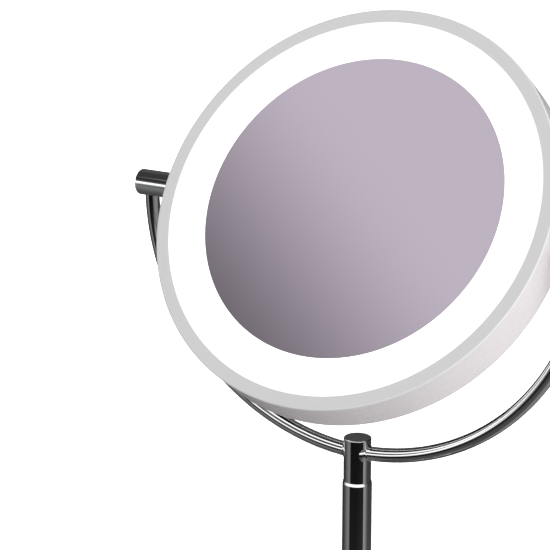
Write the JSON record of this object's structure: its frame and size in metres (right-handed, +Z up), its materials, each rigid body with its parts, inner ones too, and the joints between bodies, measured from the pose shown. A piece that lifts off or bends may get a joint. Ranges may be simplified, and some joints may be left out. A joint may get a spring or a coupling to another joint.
{
  "type": "lighted vanity mirror",
  "caption": "Round lit two-sided vanity mirror head tilting in a chrome U-shaped yoke, swivelling on a stem above a weighted base.",
  "frame": {"origin": "centre of the round base on the surface that the rubber feet stand on", "axes": "+Z up along the stem, +X along the head's tilt axis, -Y to the front"},
  "size_m": [0.2792, 0.16, 0.4187],
  "materials": {
    "chrome": "polished",
    "cast_iron": "rough",
    "black_plastic": "matte",
    "steel": "zinc plated",
    "rubber": "matte",
    "nylon": "matte",
    "white_plastic": "satin gloss",
    "diffuser": "frosted",
    "mirror": "polished",
    "foam": "foam",
    "inner_plastic": "matte",
    "circuit_board": "solder mask",
    "led": "moulded",
    "button_plastic": "satin"
  },
  "bodies": {
    "base": {"base_shell": "chrome", "base_weight": "cast_iron", "base_plate": "black_plastic", "base_screws": "steel", "rubber_feet": "rubber", "stem_bolt": "steel", "stem_washer": "steel", "stem_plug": "steel", "stem_tube": "chrome", "stem_collar": "chrome", "swivel_bush": "nylon", "power_switch": "black_plastic", "switch_board": "circuit_board", "power_inlet": "steel", "inlet_board": "circuit_board"},
    "yoke": {"yoke_hub": "chrome", "yoke_tube": "chrome", "swivel_ring": "rubber", "swivel_washer": "steel", "swivel_screw": "steel", "friction_washers": "nylon", "pivot_springs": "steel", "pivot_barrel_left": "chrome", "pivot_barrel_right": "chrome", "barrel_cap_left": "chrome", "barrel_cap_right": "chrome"},
    "head": {"pivot_stud_left": "steel", "pivot_stud_right": "steel", "pivot_bracket_left": "steel", "pivot_bracket_right": "steel", "pivot_nuts": "steel", "bracket_screws": "steel", "carrier_screws": "steel", "side_case": "white_plastic", "front_bezel": "white_plastic", "rear_bezel": "white_plastic", "front_diffuser": "diffuser", "rear_diffuser": "diffuser", "mirror_glass": "mirror", "magnifying_glass": "mirror", "mirror_pad": "foam", "mirror_backing": "black_plastic", "front_carrier": "inner_plastic", "rear_carrier": "inner_plastic", "front_led_board": "circuit_board", "rear_led_board": "circuit_board", "front_leds": "led", "rear_leds": "led", "driver_board": "circuit_board", "driver_parts": "black_plastic", "board_screws": "steel"},
    "power_button": {"power_button": "button_plastic"}
  },
  "joints": [
    {"name": "yoke_swivel", "type": "hinge", "parent": "base", "child": "yoke", "pos_m": [0, 0, 0.1667], "axis": [0, 0, 1], "continuous": true},
    {"name": "head_tilt", "type": "hinge", "parent": "yoke", "child": "head", "pos_m": [0, 0, 0.318], "axis": [1, 0, 0], "continuous": true},
    {"name": "button_press", "type": "slide", "parent": "base", "child": "power_button", "axis": [0, 0, -1], "range_m": [0, 0.0012], "stiffness_N_per_m": 600, "springref_m": -0.0012}
  ]
}
